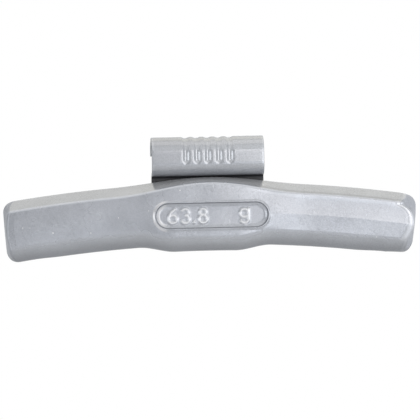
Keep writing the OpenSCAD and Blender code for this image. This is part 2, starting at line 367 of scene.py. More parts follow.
def section(rise, drop, band):
    """The bar's section as (height, depth). rise and drop swell it, band fits the recess."""
    upmost, lowest = HALF + SIDE_UP * rise, -HALF - SIDE_DOWN * drop
    high, low = FACE_TOP + FACE_UP * rise, FACE_BOTTOM - FACE_DOWN * drop
    a, b, c = Vector((upmost, 0)), Vector((upmost, BEVEL_TOP)), Vector((high, DEPTH))
    d, e, f = Vector((low, DEPTH)), Vector((lowest, BEVEL_BOTTOM)), Vector((lowest, 0))
    top, bottom = Vector((3.15, DEPTH)), Vector((-2.6 - 0.9 * band, DEPTH))
    upper, lower = rounded(b, c, top, 0.7), rounded(bottom, d, e, 0.9, 9)
    seat, keel = rounded(a, b, c, 0.8), rounded(d, e, f, 1.6, 9)
    back = rounded(f, a, b, 0.6, 4), rounded(e, f, a, 0.6, 4)
    face = ([upper[-1]] + line(upper[-1], top, 14) + [top] + line(top, bottom, 66) + [bottom]
            + line(bottom, lower[0], 10) + [lower[0]])
    runs = [(back[0], 0.3), (line(back[0][-1], seat[0], 5), 0), (seat, 0.6),
            (line(seat[-1], upper[0], 14), 0), (upper[:-1], 1), (face, 0), (lower[1:], 0.5),
            (line(lower[-1], keel[0], 14), 0), (keel, 0.3), (line(keel[-1], back[1][0], 4), 0),
            (back[1], 0.3), (line(back[1][-1], back[0][0], 26), 0)]
    edges = [sharp * math.sin(math.pi * (i + 0.5) / len(run))
             for run, sharp in runs for i in range(len(run))]
    mid, half, crown = (high + low) / 2, (high - low) / 2, CROWN * (1 - 0.6 * drop)
    bulged = []
    for p in [p for run, _ in runs for p in run]:
        flank = BEVEL_TOP if p.x > mid else BEVEL_BOTTOM
        share = max(0, min(1, (p.y - flank) / (DEPTH - flank)))
        bulged.append(Vector((p.x, p.y - crown * min(1, ((p.x - mid) / half) ** 2) * share)))
    return bulged, edges


arm, edge = section(0, 0, 0)
forms = {"rise": (section(1, 0, 0)[0], arm), "drop": (section(0, 1, 0)[0], arm),
         "band": (section(0, 1, 1)[0], section(0, 1, 0)[0])}
COLUMNS = len(arm)
print("points round the section:", COLUMNS)

# %% [markdown]
# The recess gives the weight in grams in plain raised figures. A figure is drawn like a pencil's
# path, from parts of circles and a few straight strokes, and has no width yet.

# %% Draw the figures
def bow(x, z, radius, start, stop):
    """A stroke along part of a circle, between two angles in degrees."""
    steps = max(4, round(abs(stop - start) / 15))
    turns = [math.radians(start + (stop - start) * i / steps) for i in range(steps + 1)]
    return [(x + radius * math.cos(a), z + radius * math.sin(a)) for a in turns]


FIGURES = {
    "6": [bow(0, -0.72, 0.93, 0, 360), bow(0.95, -0.55, 1.9, 185, 118) + [(0.45, 1.55)]],
    "3": [bow(-0.05, 0.85, 0.8, 150, -80), bow(-0.05, -0.75, 0.9, 80, -150)],
    ".": [[(0, -1.5), (0.02, -1.48)]],
    "8": [bow(0, 0.88, 0.72, 0, 360), bow(0, -0.74, 0.9, 0, 360)],
    "g": [bow(0, 0.42, 0.92, 0, 360), [(0.92, 1.4), (0.92, -0.9)] + bow(0, -0.9, 0.92, 0, -150)],
}
WRITTEN = [("6", -8.4), ("3", -5.5), (".", -3.55), ("8", -1.5), ("g", 7.9)]
FIGURE_LEVEL = -0.45

strokes, links = [], []
for figure, middle in WRITTEN:
    for stroke in FIGURES[figure]:
        links += [(len(strokes) + i, len(strokes) + i + 1) for i in range(len(stroke) - 1)]
        strokes += [(middle + a, FIGURE_LEVEL + b, 0) for a, b in stroke]
print("points of the figures:", len(strokes))

# %% [markdown]
# The section goes to the tree as loose points. Each carries how far it moves when the pad swells
# upwards, when it swells downwards, and when the face's rows make room for the recess. Any form
# between an arm and the pad is then one sum. A few grains of dust in the paint come along as well,
# as points that lie before the face, and so do the figures.

# %% The section as points with their moves
GRAINS = [(-27.09, -17.54), (37.97, -19.87), (23.74, -13.63), (22.67, -10.19), (-6.70, -8.29),
          (5.39, -7.99), (-13.87, -12.81), (-42.45, -16.06), (-40.85, -16.10), (-35.64, -17.35),
          (-20.75, -14.26)]
BEFORE_FACE = -12

drawn = bpy.data.meshes.new("bar_section")
before = COLUMNS + len(GRAINS)
dots = [(p.x, p.y, 0) for p in arm] + [(a, BEFORE_FACE, b) for a, b in GRAINS] + strokes
drawn.from_pydata(dots, [(before + a, before + b) for a, b in links], [])
for label, (swollen, plain) in forms.items():
    moves = drawn.attributes.new(label, "FLOAT_VECTOR", "POINT")
    for i in range(COLUMNS):
        moves.data[i].vector = (*(swollen[i] - plain[i]), 0)
marks = drawn.attributes.new("edge", "FLOAT", "POINT")
for i, share in enumerate(edge):
    marks.data[i].value = share
print("points drawn:", len(drawn.vertices))

# %% [markdown]
# The tree starts with a flat grid. Each row becomes one section of the bar, and each column one of
# the drawn points. Rows are close together over the recess, where fine relief has to come out, and
# wide along the plain arms. The last rows of each end turn its rounded edge and close its cap.

# %% Rows and columns of the bar
ROWS = {"middle": 132, "arm": 46, "end": 27, "edge": 7, "cap": 6}
MIDDLE, END = 14.0, 6.5  # the length of the middle's rows on each side, and that of an end's
bar = sized_tree("bar_tree", BAR)
size = bar.sizes
half_rows = sum(ROWS.values())
grid = bar.add("GeometryNodeMeshGrid", None,
               {"Size X": 1.0, "Size Y": 1.0, "Vertices X": 2 * half_rows + 1,
                "Vertices Y": COLUMNS + 1})
index = bar.add("GeometryNodeInputIndex")
row = bar.maths("FLOOR", (index + 0.5) / (COLUMNS + 1)) - half_rows
column = bar.maths("MODULO", bar.maths("MODULO", index, COLUMNS + 1), COLUMNS)
side, along = bar.maths("SIGN", row), abs(row)

shares, first = {}, 0
for part, count in ROWS.items():
    shares[part] = bar.ramp(along, first, first + count)
    first += count
knee = size["Length"] / 2 + side * size["Shift"] - END
reach = shares["middle"] * MIDDLE + shares["arm"] * (knee - MIDDLE)
print("rows:", 2 * half_rows + 1, "columns:", COLUMNS)

# %% [markdown]
# At each row the pad's swell is known from the distance to the middle: its upper side rises as one
# smooth wave, its lower side drops with a flat stretch that sits a little left of the middle.
# These shares scale the moves that the section's points carry.

# %% The section's form at each row
DROP_LEFT = 0.9
BAND_FULL, BAND_GONE = 11.5, 15.0
to_foot = bar.maths("MINIMUM", reach / size["Rise half"], 1.0)
rise = bar.maths("COSINE", to_foot * (math.pi / 2)) ** 2
drop = bar.soft(abs(reach * side + DROP_LEFT), size["Drop flat"], size["Drop half"], 1.0, 0.0)
band = bar.soft(reach, BAND_FULL, BAND_GONE, 1.0, 0.0)


def at_column(value, kind="FLOAT_VECTOR"):
    """What the drawn point of this column carries."""
    return bar.add("GeometryNodeSampleIndex", {"data_type": kind, "domain": "POINT"},
                   {"Geometry": bar.drawn, "Value": value, "Index": column})


def carried(name, kind="FLOAT_VECTOR"):
    return bar.add("GeometryNodeInputNamedAttribute", {"data_type": kind}, {"Name": name},
                   "Attribute")


form = at_column(bar.add("GeometryNodeInputPosition"))
for name, share in (("rise", rise), ("drop", drop), ("band", band)):
    form = bar.moved_by(form, at_column(carried(name)), share)
height, depth, _ = bar.parts(form)
print("nodes so far:", len(bar.group.nodes))

# %% [markdown]
# The ends are not square. A small edge runs round each of them, the lower side is tucked up by a
# few hundredths of its height over the last centimetre, and seen from the front all four corners
# have radii of their own.

# %% Edges, tuck and corners of the ends
TUCK_FROM, TUCK_TO = 34.0, 41.0
angle = shares["edge"] * (math.pi / 2)
inset = size["End edge"] * (1 - bar.maths("COSINE", angle))
left_over = 1 - shares["cap"]
is_right = bar.maths("GREATER_THAN", side, 0.0)
is_low = bar.maths("LESS_THAN", height, 0.0)


def by_end(left, right_):
    """One value for the left end, another for the right one."""
    return left + (right_ - left) * is_right


def by_side(upper, lower):
    return upper + (lower - upper) * is_low


near_end = bar.soft(reach, TUCK_FROM, TUCK_TO)
tuck = is_low * (near_end * by_end(size["Left tuck"], size["Right tuck"])
                 + shares["end"] * by_end(0.0, size["Right end tuck"]))
height = height * (1 - tuck) * (1 - inset / HALF) * left_over
depth = DEPTH / 2 + (depth - DEPTH / 2) * (1 - inset / (DEPTH / 2)) * left_over
corner = by_end(by_side(size["Left upper corner"], size["Left lower corner"]),
                by_side(size["Right upper corner"], size["Right lower corner"]))
into = bar.between(abs(height) - HALF + corner, 0.0, corner)
loss = corner - bar.maths("SQRT", corner * corner - into * into)
print("corner radii in mm:", [BAR[k] for k in BAR if k.endswith("corner")])

# %% [markdown]
# Each end also leans, and its face slopes back towards the front, more so at its upper and lower
# edges. On the right the upper corner is cut back most, by a high power of the height. All of it
# is one distance for each point, at which its row stops.

# %% Where each row stops
CUT_LIMIT = 0.955  # beyond this share of the face's height the cut stays as it is
up_share = abs(height) / size["Face up"]
near_face = bar.maths("MINIMUM", up_share, CUT_LIMIT)
right_bow = (size["Right lower bow"] * up_share ** 1.5 * is_low
             + (size["Right upper bow"] * near_face ** 2
                + size["Right corner cut"] * near_face ** 6) * (1 - is_low))
slope = (by_end(size["Left draft"], size["Right draft"])
         + by_end(size["Left bow"] * up_share ** 2, right_bow))
stop = (size["Length"] / 2 + side * size["Shift"] - loss
        - by_end(size["Left trim"], size["Right trim"])
        - by_end(size["Left lean"], size["Right lean"]) * height / size["Height"]
        - bar.maths("MAXIMUM", depth, 0.0) / size["Depth"] * slope
        - size["End edge"] * (1 - bar.maths("SINE", angle)))
far = (reach + shares["end"] * (stop - reach)) * side
print("right end's draft in mm:", BAR["Right draft"])

# %% [markdown]
# So far the bar is straight. It is bent as a smith would do it, once its section is right: the way
# along the bar becomes an angle, and a point's height is added to the arc's radius.

# %% Bend the bar along its arc
turn = far / size["Arc radius"]
radius = size["Arc radius"] + height
x = radius * bar.maths("SINE", turn)
z = radius * bar.maths("COSINE", turn) - size["Arc radius"]
print("arc in degrees:", math.degrees(BAR["Length"] / BAR["Arc radius"]))

# %% [markdown]
# ## The face of the arms
# The face isn't parallel to the back. It leans back towards the ends by almost half a millimetre,
# and by a little more at the very end. On the right arm a shallow ridge runs along it, whose
# flanks mirror the room in two tones. Both are a small loss of depth, which fades towards the
# back.

# %% Lean and ridge of the arms' face
FACE_MIDDLE = (FACE_TOP + FACE_BOTTOM) / 2
UPPER_TILT, LOWER_TILT, UNCROWNED = 0.105, 0.122, 0.0187
in_front = bar.ramp(depth, 3.0, 4.0)
to_end = (stop - reach) * (1 - shares["end"])
lean = bar.soft(abs(far), 12.0, 25.0, 0.0, 0.30) + bar.ramp(abs(far), 25.0, 47.0, 0.0, 0.15)
lean = lean + bar.soft(to_end, 1.3, 0.0) * by_end(0.16, 0.26)
face_height = bar.between(height, FACE_BOTTOM, FACE_TOP)
above = bar.maths("MAXIMUM", face_height - size["Ridge level"], 0.0)
beneath = bar.maths("MAXIMUM", size["Ridge level"] - face_height, 0.0)
ridge = (above * (UPPER_TILT - above * 0.0186) + beneath * (LOWER_TILT - beneath * 0.0066)
         - (face_height - FACE_MIDDLE) ** 2 * UNCROWNED)
lean = lean + ridge * bar.soft(reach * side, 13.0, 21.0)
depth = depth - lean * bar.ramp(depth, 2.0, 6.3)
print("flanks tilted by", math.degrees(UPPER_TILT), math.degrees(LOWER_TILT))

# %% [markdown]
# ## The recess
# The pad has a long recess with round ends, inside a low raised rim. Its outline is all points at
# one distance from a short line, so a single distance gives the rim, the sloping wall and the
# floor. The recess is straight although the bar is bent, as the die that struck it was.

# %% Distance to the recess and its relief
BRINK = 0.6  # the share of the wall's fall that is steep
recess_r = size["Recess height"] / 2
past = bar.maths("MAXIMUM", abs(x - size["Shift"]) - (size["Recess length"] / 2 - recess_r), 0.0)
over = z + size["Recess low"]
edge_gap = bar.maths("SQRT", past * past + over * over) - recess_r
rim_level = size["Depth"] + size["Rim proud"]
rim_share = in_front * bar.soft(edge_gap, size["Rim crest"], size["Rim crest"] + size["Rim slope"],
                                1.0, 0.0)
wall_share = (bar.soft(edge_gap, 0.02, -0.18) * BRINK
              + bar.soft(edge_gap, -0.12, 0.0 - size["Wall"]) * (1 - BRINK)) * in_front
level = depth + (rim_level - depth) * rim_share
level = level + (size["Depth"] - size["Recess depth"] - level) * wall_share
print("recess in mm:", BAR["Recess length"], BAR["Recess height"])

# %% [markdown]
# The floor of the recess rises where it is near a stroke of a figure. Measuring a distance gives
# the figures the even width and the soft flanks that a die leaves, which figures cut from a font
# and laid on the floor would not have.

# %% Raised figures
FLANK = 0.53
nearest = bar.add("GeometryNodeProximity", {"target_element": "EDGES"},
                  {"Geometry": bar.drawn, "Sample Position": bar.xyz(x, z, 0.0)}, "Distance")
raised = bar.soft(nearest, 0.0, FLANK, 1.0, 0.0) * in_front * bar.ramp(edge_gap, -0.25, -0.6)
level = level + raised * size["Figure height"]
print("figures:", len(WRITTEN))

# %% [markdown]
# ## Wear, painted highlights and painted shade
# Handling wears paint off edges, and the edges and the tops of the figures also get a painted
# highlight. Painted shade darkens the foot of the recess's rim and the lower bevel. Both are
# reckoned from what is known of each point, so they follow every change of size. On the right
# arm a painted highlight and a line of painted shade go along the face's edge.

# %% Worn edges, painted highlights and painted shade
on_side = bar.ramp(shares["cap"], 0.0, 0.15, 1.0, 0.0)
corners = at_column(carried("edge", "FLOAT"), "FLOAT") * (1 - is_low * by_end(0.6, 0.2))
end_edge = bar.maths("SINE", shares["edge"] * math.pi) * by_end(0.0, 0.6)
# A painted highlight along the right end's face edge.
rolled_highlight = is_right * bar.soft(to_end, 1.2, 0.4) * bar.ramp(depth, 5.0, 5.8) * on_side
brow = height - rise * FACE_UP
right_arm = bar.soft(x, 7.0, 12.0) * bar.ramp(depth, 4.3, 4.9) * on_side
# A painted highlight along the right arm's upper face edge.
highlight_line = bar.soft(brow, 3.6, 4.1) * bar.soft(brow, 5.0, 4.7) * right_arm * 0.6
# Worn edges with a painted highlight, and painted highlights on the figures and face edges.
worn_and_highlight = bar.larger(bar.larger(corners, end_edge, raised) * on_side, rolled_highlight, highlight_line)

# Painted shade at the foot of the rim's wall, on the lower bevel and in a line on the right arm.
foot = bar.soft(abs(edge_gap + 0.08), 0.04, 0.17, 1.0, 0.0) * in_front
below = is_low * bar.soft(depth, 6.2, 2.4) * bar.soft(depth, 0.0, 0.6) * on_side * 0.75
shade_line = bar.soft(abs(brow - 5.2), 0.1, 0.35, 0.35, 0.0) * right_arm
painted_shade = bar.larger(foot, below, shade_line)
print("nodes so far:", len(bar.group.nodes))

# %% [markdown]
# Four places get painted light. Under the hook it lifts the upper bevel out of the hook's shade;
# on the figures, the right end's rolled edge and the rim's left end, inside and outside, it is a
# painted highlight. The ends themselves are sheared, and dull.

# %% Painted light and sheared places
# Painted light: it lifts the hook's shade here, and paints highlights on the figures and rim.
under_hook_light = ((1 - is_low) * bar.soft(abs(x), 13.2, 11.0) * bar.soft(depth, 6.4, 5.2)
              * bar.soft(depth, 1.2, 2.2))
crest = (bar.soft(abs(edge_gap - 0.42), 0.12, 0.42, 1.0, 0.0)
         + bar.soft(abs(edge_gap + 0.62), 0.12, 0.42, 1.0, 0.0))
rim_left_highlight = crest * bar.soft(x - size["Shift"], -9.6, -11.4) * in_front
painted_light = bar.larger(under_hook_light, raised * 0.9, rolled_highlight * 0.4, rim_left_highlight)
sheared = bar.larger(bar.soft(shares["edge"], 0.45, 1.0),
                     bar.soft(shares["edge"], 0.0, 0.2) * by_end(1.0, 0.0))


def stored(tree, geometry, marked_by):
    """The geometry with each named mark stored on its points."""
    for name, value in marked_by.items():
        geometry = tree.add("GeometryNodeStoreNamedAttribute",
                            {"data_type": "FLOAT", "domain": "POINT"},
                            {"Geometry": geometry, "Name": name, "Value": value})
    return geometry


BAR_MARKS = {"edge": worn_and_highlight, "painted_shade": painted_shade, "painted_light": painted_light, "sheared": sheared}
marked = stored(bar, grid, BAR_MARKS)
print("marks:", *BAR_MARKS)

# %% [markdown]
# A forging is never quite even. A slow wave of a few hundredths of a millimetre makes its
# highlights wander as they do on the real bar. The grid then takes its final form. The columns
# meet at the seam and the caps close in a point, so points that coincide are merged.

# %% Set the points in place
WAVE_SCALE, WAVE_HEIGHT = 0.085, 0.10
wave = bar.add("ShaderNodeTexNoise", None,
               {"Vector": bar.xyz(x, 0.0 - level, z), "Scale": WAVE_SCALE, "Detail": 1.5})
uneven = (wave - 0.5) * in_front * WAVE_HEIGHT
spot = bar.xyz(x, 0.0 - level - uneven * left_over - HOOK_Y, z - HOOK_Z)
shape = bar.add("GeometryNodeSetPosition", None, {"Geometry": marked, "Position": spot})
skin = bar.add("GeometryNodeMergeByDistance", None, {"Geometry": shape, "Distance": 0.003})
skin = bar.add("GeometryNodeFlipFaces", None, {"Mesh": skin})
print("nodes so far:", len(bar.group.nodes))

# %% [markdown]
# ## The back of the bar
# The hook's tail lies in a pocket, flush with the bar's flat back. The pocket and the step above
# it, over which the hook is bent, are cut with boxes, by a boolean, because their edges are sharp.
# A rod leaves the step's edge round.

# %% Pocket and step
STRIP, WIDE, TAIL_END, SEAT_Y, SEAT_Z = 1.0, 25.6, -3.0, -1.65, 8.0
TAIL_FRONT, CLEAR = STRIP + 0.05, 0.3
ACROSS_X, OUT_Y = (0, math.pi / 2, 0), (math.pi / 2, 0, 0)  # turns of a rod or cone


def from_back(x_, y, z_):
    """A place given from the bar's back and the arc's middle, as it is from the part's origin."""
    return (x_, y - HOOK_Y, z_ - HOOK_Z)


def box(tree, low, high):
    """A box between two corners."""
    cube = tree.add("GeometryNodeMeshCube", None, {"Size": [b - a for a, b in zip(low, high)]})
    return tree.moved(cube, from_back(*[(a + b) / 2 for a, b in zip(low, high)]))


def rod(tree, radius, length, place, turned):
    cylinder = tree.add("GeometryNodeMeshCylinder", None,
                        {"Vertices": 64, "Radius": radius, "Depth": length})
    return tree.moved(cylinder, from_back(*place), turned)


def cut(tree, body, tool):
    return tree.add("GeometryNodeMeshBoolean", {"operation": "DIFFERENCE", "solver": "MANIFOLD"},
                    {"Mesh 1": body, "Mesh 2": tool})


room = WIDE / 2 + CLEAR
pocket = box(bar, (-room, -TAIL_FRONT, TAIL_END - CLEAR), (room, 5, 20))
step = cut(bar, box(bar, (-room, SEAT_Y, SEAT_Z), (room, 5, 20)),
           rod(bar, 0.55, 60, (0, SEAT_Y, SEAT_Z), ACROSS_X))
skin = cut(bar, cut(bar, skin, pocket), step)
print("pocket width", round(2 * room, 2))

# %% [markdown]
# Two rivets stand on the pocket's floor, forged with the bar, and their heads are spread over the
# tail. They repeat, so one rivet, a cone on a shank, is placed on a line of two points.

# %% Rivets
RIVET_Z, RIVET_SPAN, SHANK_R, HEAD_R = 2.1, 13.0, 1.5, 2.1
two = bar.add("GeometryNodeMeshLine", {"mode": "END_POINTS"},
              {"Count": 2, "Start Location": from_back(-RIVET_SPAN / 2, 0, RIVET_Z),
               "Offset": from_back(RIVET_SPAN / 2, 0, RIVET_Z)})
head = bar.add("GeometryNodeMeshCone", None,
               {"Vertices": 48, "Side Segments": 1, "Fill Segments": 4, "Radius Top": SHANK_R,
                "Radius Bottom": HEAD_R, "Depth": 0.6})
shank = bar.add("GeometryNodeMeshCylinder", None,
                {"Vertices": 48, "Radius": SHANK_R, "Depth": 1.6})
rivet = bar.join(head, bar.moved(shank, (0, 0, 0.85)))
rivets = bar.add("GeometryNodeInstanceOnPoints", None,
                 {"Points": two, "Instance": bar.moved(rivet, (0, -0.05, 0), OUT_Y)})
print("rivets: 2,", RIVET_SPAN, "mm apart")

# %% [markdown]
# Eleven grains of dust lie in the paint of the face. Their points are picked from what was drawn
# and thrown at the skin with Raycast, so they land on it whatever its form. A fixed seed gives
# each its size.

# %% Grains of dust in the paint
GRAIN_R = 0.13
dust_points = bar.add("GeometryNodeSeparateGeometry", {"domain": "POINT"},
                      {"Geometry": bar.drawn,
                       "Selection": bar.maths("COMPARE", index, COLUMNS + (len(GRAINS) - 1) / 2,
                                              len(GRAINS) / 2)})
hit = bar.add("GeometryNodeRaycast", None,
              {"Target Geometry": skin, "Ray Direction": (0, 1, 0), "Ray Length": 50.0},
              "Hit Position")
landed = bar.add("GeometryNodeSetPosition", None, {"Geometry": dust_points, "Position": hit})
grain = bar.add("GeometryNodeMeshIcoSphere", None, {"Radius": GRAIN_R, "Subdivisions": 2})
much = bar.add("FunctionNodeRandomValue", {"data_type": "FLOAT"},
               {"Min": 0.5, "Max": 1.1, "Seed": 7}, "Value")
grains = bar.add("GeometryNodeInstanceOnPoints", None,
                 {"Points": landed, "Instance": grain, "Scale": bar.xyz(much, much * 0.6, much)})
grains = stored(bar, bar.add("GeometryNodeRealizeInstances", None, {"Geometry": grains}),
                {"nib": 1.0})
print("grains:", len(GRAINS))

# %% [markdown]
# The three lots are joined, and faces are shaded smooth except where they meet at a sharp angle,
# as at the pocket. The bar rides on the part's one body and takes the place of the CAD model's
# bar.

# %% Finish the bar
SHARP = 0.6  # in radians


def smooth(tree, geometry):
    """Smooth faces, with sharp edges where two faces meet at more than the angle."""
    soft = tree.add("GeometryNodeSetShadeSmooth", {"domain": "FACE"}, {"Geometry": geometry})
    sharp = tree.maths("GREATER_THAN", tree.add("GeometryNodeInputMeshEdgeAngle"), SHARP)
    return tree.add("GeometryNodeSetShadeSmooth", {"domain": "EDGE"},
                    {"Geometry": soft, "Selection": sharp, "Shade Smooth": False})


whole = smooth(bar, bar.join(skin, rivets, grains))
weight = grown("balance_bar", bar, whole, drawn, BAR, bar_paint)
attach(weight, "root")
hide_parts("weight_body")

# %% [markdown]
# ## The hook
# The hook is one strip of spring steel, folded on a press: a flat tail, a tight bend over the
# bar's upper edge, a wide bend up the front, and a half turn over the rim's lip. It is a section
# that follows a path, so both are drawn as moves, and a tree lays the one along the other.

# %% Draw the hook's path
HOOK = {"Thickness": STRIP, "Width": WIDE, "Edge": 0.18, "Tail corner": 2.0, "Rib pitch": 2.5,
        "Rib height": 0.30, "Rib half width": 1.0, "Rib from": 17.6, "Rib to": 24.6}
MOVES = [(11.0, 0), (1.1, 90), (0.15, 0), (2.7, -90), (1.9, 0), (3.4, -180), (0.4, 0)]
STRAIGHT_STEP, BEND_STEP = 0.5, 3  # in millimetres and in degrees


def walked(start, moves_):
    """Points of a path in (y, z) from straight moves (length, 0) and bends (radius, degrees)."""
    here, heading = Vector(start), math.pi / 2
    stops = [here.copy()]
    for amount, degrees in moves_:
        if degrees:
            steps = abs(degrees) // BEND_STEP
            half_turn = math.radians(degrees) / steps / 2
            stride = 2 * amount * math.sin(abs(half_turn))
        else:
            steps, half_turn = max(1, round(amount / STRAIGHT_STEP)), 0.0
            stride = amount / steps
        for _ in range(steps):
            heading += half_turn
            here = here + Vector((math.cos(heading), math.sin(heading))) * stride
            heading += half_turn
            stops.append(here.copy())
    return stops


path = walked((-0.55, TAIL_END), MOVES)
print("path points:", len(path), "ends at", [round(v, 2) for v in path[-1]])

# %% [markdown]
# The strip's section is a flat rectangle with small rounded edges. Its points lie closest in the
# middle, where the ribs will be. Path and section go to the tree as the two splines of one curve.

# %% Draw the strip's section
RIBBED = 6.6  # half the width over which the points lie close


def strip_section():
    """The section's outline, (across, out), from the left edge over the outer side and back."""
    w, h, r = HOOK["Width"] / 2, HOOK["Thickness"] / 2, HOOK["Edge"]
    flat = [-w + r] + [-w + r + (w - r - RIBBED) * i / 14 for i in range(1, 14)]
    flat += [-RIBBED + 2 * RIBBED * i / 108 for i in range(109)] + [-v for v in reversed(flat)]
    turns = [math.radians(90 * i / 5) for i in range(5)]
    outer = [(-w, 0.0)] + [(-w + r - r * math.cos(a), h - r + r * math.sin(a)) for a in turns]
    outer += [(v, h) for v in flat]
    outer += [(w - r + r * math.cos(a), h - r + r * math.sin(a)) for a in reversed(turns)]
    return outer + [(w, 0.0)] + [(v, -n) for v, n in reversed(outer[1:])]


strip = strip_section()
ACROSS = len(strip)
lines = bpy.data.curves.new("hook_lines", "CURVE")
lines.dimensions = "3D"
for run in ([(0, y, z_) for y, z_ in path], [(v, n, 0) for v, n in strip]):
    spline = lines.splines.new("POLY")
    spline.points.add(len(run) - 1)
    for point, co in zip(spline.points, run):
        point.co = (*co, 1)
print("section points:", ACROSS)

# %% [markdown]
# Rows of the strip are a fifth of a millimetre apart, and the last ones round its cut ends and
# close them. Sample Curve gives each row its place on the path and its direction.

# %% Lay the strip along its path
hook = sized_tree("hook_tree", HOOK)
size = hook.sizes
TURNS, CAPS, LONG = 5, 2, 158
ENDS = TURNS + CAPS
count = LONG + 2 * ENDS
grid = hook.add("GeometryNodeMeshGrid", None,
                {"Size X": 1.0, "Size Y": 1.0, "Vertices X": count + 1, "Vertices Y": ACROSS + 1})
index = hook.add("GeometryNodeInputIndex")
row = hook.maths("FLOOR", (index + 0.5) / (ACROSS + 1))
column = hook.maths("MODULO", hook.maths("MODULO", index, ACROSS + 1), ACROSS)
from_end = hook.maths("MINIMUM", row, count - row)
cap = hook.ramp(from_end, 0, CAPS)
angle = (1 - hook.ramp(from_end, CAPS, ENDS)) * (math.pi / 2)
path_only = hook.add("GeometryNodeSeparateGeometry", {"domain": "CURVE"},
                     {"Geometry": hook.drawn, "Selection": hook.maths("LESS_THAN", index, 0.5)})
length = hook.add("GeometryNodeCurveLength", None, {"Curve": path_only})
share = hook.ramp(row, ENDS, count - ENDS)
reached = size["Edge"] + share * (length - 2 * size["Edge"])
reached = reached + hook.maths("SIGN", share - 0.5) * size["Edge"] * hook.maths("SINE", angle)

sample = hook.add("GeometryNodeSampleCurve", {"mode": "LENGTH", "use_all_curves": False},
                  {"Curves": hook.drawn, "Length": reached, "Curve Index": 0}, "Position")
_, path_y, path_z = hook.parts(sample)
_, ahead_y, ahead_z = hook.parts(sample.other("Tangent"))
print("rows of the strip:", count + 1)

# %% [markdown]
# Each row gets the strip's section, narrowed at the tail's round corners. Five ribs are pressed
# into the upper bend from inside, so both sides of the strip move out together. A rib is all that
# lies near a short line, like the recess, and rounding finds the nearest of the five.

# %% The strip's section, its tail corners and its ribs
OUTER_RIB = 2.0
drawn_point = hook.add("GeometryNodeSampleIndex", {"data_type": "FLOAT_VECTOR", "domain": "POINT"},
                       {"Geometry": hook.drawn, "Value": hook.add("GeometryNodeInputPosition"),
                        "Index": column + len(path)})
wide, thick, _ = hook.parts(drawn_point)
inset = size["Edge"] * (1 - hook.maths("COSINE", angle))
near = hook.maths("MAXIMUM", size["Tail corner"] - reached, 0.0)
narrowed = size["Tail corner"] - hook.maths("SQRT", size["Tail corner"] ** 2 - near * near)
wide = wide * (1 - (inset + narrowed) / (size["Width"] / 2))
thick = thick * (1 - inset / (size["Thickness"] / 2)) * cap

nearest_rib = hook.between(hook.maths("ROUND", wide / size["Rib pitch"]), -OUTER_RIB, OUTER_RIB)
off = wide - nearest_rib * size["Rib pitch"]
beyond = hook.larger(size["Rib from"] - reached, reached - size["Rib to"], 0.0)
rib = hook.soft(hook.maths("SQRT", off * off + beyond * beyond), 0.0, size["Rib half width"],
                1.0, 0.0)
out = thick + rib * size["Rib height"]
print("ribs:", round(2 * OUTER_RIB + 1))

# %% [markdown]
# The strip's edges and ribs get a painted highlight, its cut sides and the wide bend get painted
# shade, and the bend's inside, which faces the bar, gets a near-black painted shadow. With its
# marks stored, the grid takes its form. A quarter turn of the path's direction is the way out of
# the strip.

# %% Marks and form of the hook
half_wide = HOOK["Width"] / 2
# A painted highlight just inside the strip's cut sides.
side_highlight = (hook.soft(abs(wide), half_wide - 0.35, half_wide - 0.1)
               * hook.soft(abs(wide), half_wide - 0.001, half_wide - 0.02))
# Painted shade over the lower bends and on the strip's cut sides.
bend_shade = hook.soft(reached, 17.0, 14.3) * hook.soft(reached, 9.0, 12.0) * 0.5
side_shade = hook.soft(abs(wide), half_wide - 0.17, half_wide - 0.06) * 0.8
# A near-black painted shadow in the gap between the hook's bends and the bar.
facing_bar = hook.ramp(thick, 0.0, -0.1)
shaded = (facing_bar * hook.soft(reached, 9.0, 10.5)
          + hook.soft(reached, 12.6, 13.2) * (1 - facing_bar))
# The ribs get a painted highlight as well.
marked = stored(hook, grid, {
    "edge": hook.larger(side_highlight, rib * 0.25), "painted_shade": hook.larger(bend_shade, side_shade),
    "painted_shadow": hook.maths("MINIMUM", shaded, hook.soft(reached, 14.1, 13.0))})

spot = hook.xyz(wide, path_y + ahead_z * out - HOOK_Y, path_z - ahead_y * out - HOOK_Z)
shape = hook.add("GeometryNodeSetPosition", None, {"Geometry": marked, "Position": spot})
blade = hook.add("GeometryNodeMergeByDistance", None, {"Geometry": shape, "Distance": 0.003})
print("nodes so far:", len(hook.group.nodes))

# %% [markdown]
# The tail has two holes, countersunk for the spread heads of the rivets. Each is cut with a rod
# and a cone, a hair wider than the rivet, so that bar and hook never share a volume.

# %% Rivet holes in the tail, and the finished hook
HOLE_R, SINK_R, SINK_DEEP = 1.58, 2.94, 1.36
for x_ in (-RIVET_SPAN / 2, RIVET_SPAN / 2):
    sink = hook.add("GeometryNodeMeshCone", None,
                    {"Vertices": 64, "Side Segments": 1, "Fill Segments": 1,
                     "Radius Top": HOLE_R, "Radius Bottom": SINK_R, "Depth": SINK_DEEP})
    blade = cut(hook, blade, rod(hook, HOLE_R, 3.0, (x_, -1.0, RIVET_Z), OUT_Y))
    blade = cut(hook, blade, hook.moved(sink, from_back(x_, 0.63, RIVET_Z), OUT_Y))
clip = grown("spring_hook", hook, smooth(hook, blade), lines, HOOK, clip_paint)
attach(clip, "root")
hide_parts("spring_clip")

# %% [markdown]
# ## Stage
# The photograph has a plain white ground and no shadow. A pale disc far below the weight stands
# for the table. It fades to white at its rim, so that no horizon shows from any side.

# %% The floor
FLOOR_R, FLOOR_Z, FLOOR_SIDES = 0.4, -0.12, 96


def ray_masks(tree):
    """Masks of rays from the camera, and of those mirrored or let through."""
    ray = tree.add("ShaderNodeLightPath")
    return ray, tree.larger(ray.other("Is Glossy Ray"), ray.other("Is Transmission Ray"))


